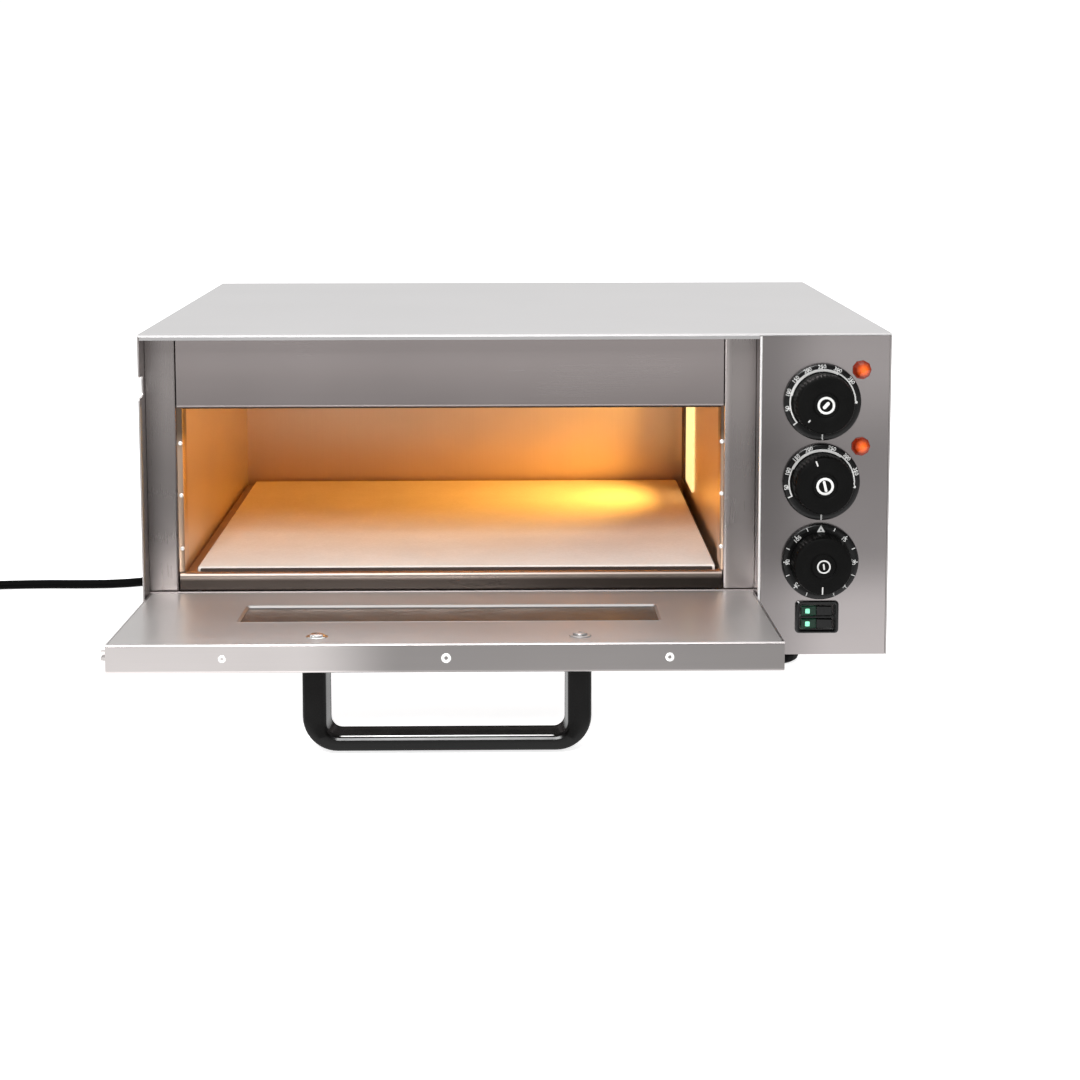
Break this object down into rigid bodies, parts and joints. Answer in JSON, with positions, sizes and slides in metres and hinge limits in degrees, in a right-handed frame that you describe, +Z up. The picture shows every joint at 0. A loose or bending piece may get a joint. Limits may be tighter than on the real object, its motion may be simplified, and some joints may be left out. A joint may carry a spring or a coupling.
{
  "type": "deck oven",
  "caption": "Countertop electric deck oven with a drop-down door, stone deck, lit chamber and side control panel.",
  "frame": {"origin": "on the table under the middle of the oven's footprint with its door open, leaving out the mains cord", "axes": "+Z up, the front with its door and controls faces -Y, +X to the right for someone facing the front"},
  "size_m": [0.8684, 0.7624, 0.271],
  "materials": {
    "stainless": "brushed sheet, horizontal grain",
    "chamber_steel": "dull heat-tinted sheet",
    "stone": "matt fired clay",
    "heater_sheath": "dark oxidised tube",
    "ceramic": "glazed ceramic",
    "lamp_cover": "clear",
    "lamp_envelope": "glowing",
    "insulation": "mineral wool",
    "control_body": "moulded",
    "dial": "black with white scale",
    "knob": "satin black",
    "lens": "clear orange, faceted",
    "switch_body": "black",
    "rocker": "dark green, lit window",
    "bright_steel": "bright",
    "door_glass": "tinted",
    "handle": "glossy black",
    "foot_rubber": "black",
    "cord_rubber": "black",
    "terminal": "cream"
  },
  "bodies": {
    "oven": {"top_cover": "stainless", "left_side_panel": "stainless", "right_side_panel": "stainless", "back_panel": "stainless", "base_pan": "stainless", "left_pillar": "stainless", "right_pillar": "stainless", "fascia_panel": "stainless", "door_sill": "stainless", "lower_front_rail": "stainless", "control_panel": "stainless", "control_bay_wall": "stainless", "chamber_liner": "chamber_steel", "baking_stone": "stone", "upper_heater_front": "heater_sheath", "upper_heater_rear": "heater_sheath", "lower_heater": "heater_sheath", "lamp_holder": "ceramic", "lamp_bulb": "lamp_envelope", "lamp_glass": "lamp_cover", "insulation_left": "insulation", "insulation_right": "insulation", "insulation_top": "insulation", "insulation_back": "insulation", "insulation_bottom": "insulation", "thermostat_upper": "control_body", "thermostat_lower": "control_body", "timer": "control_body", "dial_ring_upper": "dial", "dial_ring_middle": "dial", "dial_ring_lower": "dial", "indicator_lamp_upper": "lens", "indicator_lamp_lower": "lens", "switch_housing": "switch_body", "terminal_block": "terminal", "foot_1": "foot_rubber", "foot_2": "foot_rubber", "foot_3": "foot_rubber", "foot_4": "foot_rubber", "cable_gland": "cord_rubber", "cord_run": "cord_rubber", "cord_coil": "cord_rubber", "plug": "cord_rubber"},
    "door": {"door_outer_shell": "stainless", "door_inner_panel": "stainless", "door_insulation": "insulation", "door_glass_inner": "door_glass", "door_glass_outer": "door_glass", "door_handle": "handle", "handle_screw_left": "bright_steel", "handle_screw_right": "bright_steel", "catch_pin_left": "bright_steel", "catch_pin_right": "bright_steel", "hinge_pin_left": "bright_steel", "hinge_pin_right": "bright_steel"},
    "upper_knob": {"knob_upper": "knob"},
    "lower_knob": {"knob_lower": "knob"},
    "timer_knob": {"knob_timer": "knob"},
    "power_rocker": {"rocker_power": "rocker"},
    "light_rocker": {"rocker_light": "rocker"}
  },
  "joints": [
    {"name": "door_hinge", "type": "hinge", "parent": "oven", "child": "door", "pos_m": [0, -0.149, 0.063], "axis": [-1, 0, 0], "range_deg": [0, 88]},
    {"name": "upper_thermostat_turn", "type": "hinge", "parent": "oven", "child": "upper_knob", "pos_m": [0.2285, -0.171, 0.2197], "axis": [0, 1, 0], "range_deg": [0, 270]},
    {"name": "lower_thermostat_turn", "type": "hinge", "parent": "oven", "child": "lower_knob", "pos_m": [0.2285, -0.171, 0.1594], "axis": [0, 1, 0], "range_deg": [-140, 130]},
    {"name": "timer_turn", "type": "hinge", "parent": "oven", "child": "timer_knob", "pos_m": [0.2285, -0.171, 0.0988], "axis": [0, 1, 0], "range_deg": [-180, 130]},
    {"name": "power_rocker_tip", "type": "hinge", "parent": "oven", "child": "power_rocker", "pos_m": [0.2268, -0.1564, 0.06095], "axis": [0, 0, 1], "range_deg": [0, 14]},
    {"name": "light_rocker_tip", "type": "hinge", "parent": "oven", "child": "light_rocker", "pos_m": [0.2268, -0.1564, 0.05105], "axis": [0, 0, 1], "range_deg": [0, 14]}
  ]
}
